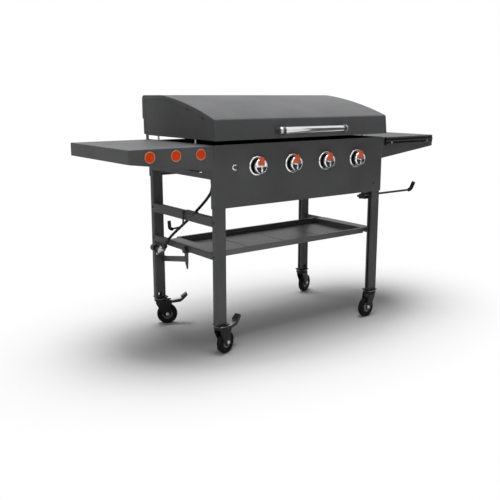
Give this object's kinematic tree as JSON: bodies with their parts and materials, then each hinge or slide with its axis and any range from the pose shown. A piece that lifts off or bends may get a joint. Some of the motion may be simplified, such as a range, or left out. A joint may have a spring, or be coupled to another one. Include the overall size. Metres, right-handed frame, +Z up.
{
  "type": "outdoor gas griddle station",
  "caption": "Wheeled outdoor gas griddle with a rear-hinged hood, a flat cooking plate, side shelves, a lower tray, a hose with its regulator and swivel casters.",
  "frame": {"origin": "on the floor, in the middle of the station's outline", "axes": "+Z up, +X the user's right hand, the user stands at -Y"},
  "size_m": [1.678, 0.6496, 1.058],
  "materials": {
    "black_steel": "textured black powder coat",
    "cooking_steel": "bare rolled steel, seasoned",
    "bare_steel": "zinc-plated or plain sheet steel",
    "chrome": "polished plating",
    "black_plastic": "fine-grained moulding",
    "orange_plastic": "smooth moulding",
    "grey_plastic": "smooth moulding",
    "brass": "turned",
    "cast_alloy": "die-cast",
    "black_rubber": "smooth",
    "tyre": "smooth tread"
  },
  "bodies": {
    "frame": {"control_panel": "black_steel", "box_side_left": "black_steel", "box_side_right": "black_steel", "box_rear_panel": "black_steel", "griddle_plate": "cooking_steel", "plate_rims": "cooking_steel", "hood_hinge_brackets": "black_steel", "hood_rest_posts": "bare_steel", "control_bezels": "chrome", "gas_valves": "brass", "gas_manifold": "bare_steel", "burner_tubes": "bare_steel", "gas_hose": "black_rubber", "regulator": "cast_alloy", "left_shelf": "black_steel", "right_shelf": "black_steel", "shelf_caps": "orange_plastic", "tool_rail": "black_plastic", "screws": "bare_steel", "side_rails": "black_steel", "lower_tray": "black_steel", "tank_bracket": "black_steel", "left_hook": "black_steel", "right_bar": "black_steel", "hook_tips": "black_rubber", "caster_plates": "bare_steel", "leg_front_left": "black_steel", "leg_front_right": "black_steel", "leg_rear_left": "black_steel", "leg_rear_right": "black_steel"},
    "hood": {"hood_shell": "black_steel", "hood_handle_bar": "black_steel", "hood_handle_brackets": "black_steel"},
    "stem_1": {"valve_stem_1": "bare_steel"},
    "knob_1": {"knob_1": "orange_plastic"},
    "stem_2": {"valve_stem_2": "bare_steel"},
    "knob_2": {"knob_2": "orange_plastic"},
    "stem_3": {"valve_stem_3": "bare_steel"},
    "knob_3": {"knob_3": "orange_plastic"},
    "stem_4": {"valve_stem_4": "bare_steel"},
    "knob_4": {"knob_4": "orange_plastic"},
    "igniter": {"igniter_button": "black_plastic"},
    "grease_cup": {"grease_cup": "bare_steel"},
    "tank_clamp": {"tank_clamp_knob": "black_plastic"},
    "bar_screw": {"right_bar_screw": "black_plastic"},
    "regulator_nut": {"regulator_nut": "black_plastic"},
    "caster_front_left": {"caster_fork_front_left": "black_steel"},
    "wheel_front_left": {"caster_hub_front_left": "grey_plastic", "caster_tyre_front_left": "tyre"},
    "pedal_front_left": {"brake_pedal_front_left": "black_plastic"},
    "caster_front_right": {"caster_fork_front_right": "black_steel"},
    "wheel_front_right": {"caster_hub_front_right": "grey_plastic", "caster_tyre_front_right": "tyre"},
    "caster_rear_left": {"caster_fork_rear_left": "black_steel"},
    "wheel_rear_left": {"caster_hub_rear_left": "grey_plastic", "caster_tyre_rear_left": "tyre"},
    "pedal_rear_left": {"brake_pedal_rear_left": "black_plastic"},
    "caster_rear_right": {"caster_fork_rear_right": "black_steel"},
    "wheel_rear_right": {"caster_hub_rear_right": "grey_plastic", "caster_tyre_rear_right": "tyre"}
  },
  "joints": [
    {"name": "hood_hinge", "type": "hinge", "parent": "frame", "child": "hood", "pos_m": [0, 0.2832, 0.894], "axis": [-1, 0, 0], "range_deg": [0, 90]},
    {"name": "valve_push_1", "type": "slide", "parent": "frame", "child": "stem_1", "axis": [0, 1, 0], "range_m": [0, 0.003], "stiffness_N_per_m": 800},
    {"name": "knob_turn_1", "type": "hinge", "parent": "stem_1", "child": "knob_1", "pos_m": [-0.263, -0.2768, 0.776], "axis": [0, -1, 0], "range_deg": [0, 180]},
    {"name": "valve_push_2", "type": "slide", "parent": "frame", "child": "stem_2", "axis": [0, 1, 0], "range_m": [0, 0.003], "stiffness_N_per_m": 800},
    {"name": "knob_turn_2", "type": "hinge", "parent": "stem_2", "child": "knob_2", "pos_m": [-0.074, -0.2768, 0.776], "axis": [0, -1, 0], "range_deg": [0, 180]},
    {"name": "valve_push_3", "type": "slide", "parent": "frame", "child": "stem_3", "axis": [0, 1, 0], "range_m": [0, 0.003], "stiffness_N_per_m": 800},
    {"name": "knob_turn_3", "type": "hinge", "parent": "stem_3", "child": "knob_3", "pos_m": [0.115, -0.2768, 0.776], "axis": [0, -1, 0], "range_deg": [0, 180]},
    {"name": "valve_push_4", "type": "slide", "parent": "frame", "child": "stem_4", "axis": [0, 1, 0], "range_m": [0, 0.003], "stiffness_N_per_m": 800},
    {"name": "knob_turn_4", "type": "hinge", "parent": "stem_4", "child": "knob_4", "pos_m": [0.304, -0.2768, 0.776], "axis": [0, -1, 0], "range_deg": [0, 180]},
    {"name": "igniter_push", "type": "slide", "parent": "frame", "child": "igniter", "axis": [0, 1, 0], "range_m": [0, 0.006], "stiffness_N_per_m": 400},
    {"name": "grease_cup_slide", "type": "slide", "parent": "frame", "child": "grease_cup", "axis": [0, 1, 0], "range_m": [0, 0.045]},
    {"name": "tank_clamp_turn", "type": "hinge", "parent": "frame", "child": "tank_clamp", "pos_m": [-0.4743, -0.0348, 0.414], "axis": [1, 0, 0], "continuous": true},
    {"name": "bar_screw_turn", "type": "hinge", "parent": "frame", "child": "bar_screw", "pos_m": [0.376, -0.2388, 0.596], "axis": [1, 0, 0], "continuous": true},
    {"name": "regulator_nut_turn", "type": "hinge", "parent": "frame", "child": "regulator_nut", "pos_m": [-0.497, 0.1912, 0.386], "axis": [0, 1, 0], "continuous": true},
    {"name": "caster_swivel_front_left", "type": "hinge", "parent": "frame", "child": "caster_front_left", "pos_m": [-0.439, -0.2422, 0.12], "axis": [0, 0, 1], "continuous": true},
    {"name": "wheel_spin_front_left", "type": "hinge", "parent": "caster_front_left", "child": "wheel_front_left", "pos_m": [-0.41252, -0.23308, 0.0475], "axis": [-0.3256, 0.9455, 0], "continuous": true},
    {"name": "brake_press_front_left", "type": "hinge", "parent": "caster_front_left", "child": "pedal_front_left", "pos_m": [-0.3974, -0.22787, 0.103], "axis": [-0.3256, 0.9455, 0], "range_deg": [0, 15]},
    {"name": "caster_swivel_front_right", "type": "hinge", "parent": "frame", "child": "caster_front_right", "pos_m": [0.439, -0.2422, 0.12], "axis": [0, 0, 1], "continuous": true},
    {"name": "wheel_spin_front_right", "type": "hinge", "parent": "caster_front_right", "child": "wheel_front_right", "pos_m": [0.41127, -0.2461, 0.0475], "axis": [0.1392, -0.9903, 0], "continuous": true},
    {"name": "caster_swivel_rear_left", "type": "hinge", "parent": "frame", "child": "caster_rear_left", "pos_m": [-0.439, 0.2582, 0.12], "axis": [0, 0, 1], "continuous": true},
    {"name": "wheel_spin_rear_left", "type": "hinge", "parent": "caster_rear_left", "child": "wheel_rear_left", "pos_m": [-0.41362, 0.24637, 0.0475], "axis": [0.4226, 0.9063, 0], "continuous": true},
    {"name": "brake_press_rear_left", "type": "hinge", "parent": "caster_rear_left", "child": "pedal_rear_left", "pos_m": [-0.39912, 0.23961, 0.103], "axis": [0.4226, 0.9063, 0], "range_deg": [0, 15]},
    {"name": "caster_swivel_rear_right", "type": "hinge", "parent": "frame", "child": "caster_rear_right", "pos_m": [0.439, 0.2582, 0.12], "axis": [0, 0, 1], "continuous": true},
    {"name": "wheel_spin_rear_right", "type": "hinge", "parent": "caster_rear_right", "child": "wheel_rear_right", "pos_m": [0.46531, 0.26778, 0.0475], "axis": [-0.342, 0.9397, 0], "continuous": true}
  ]
}
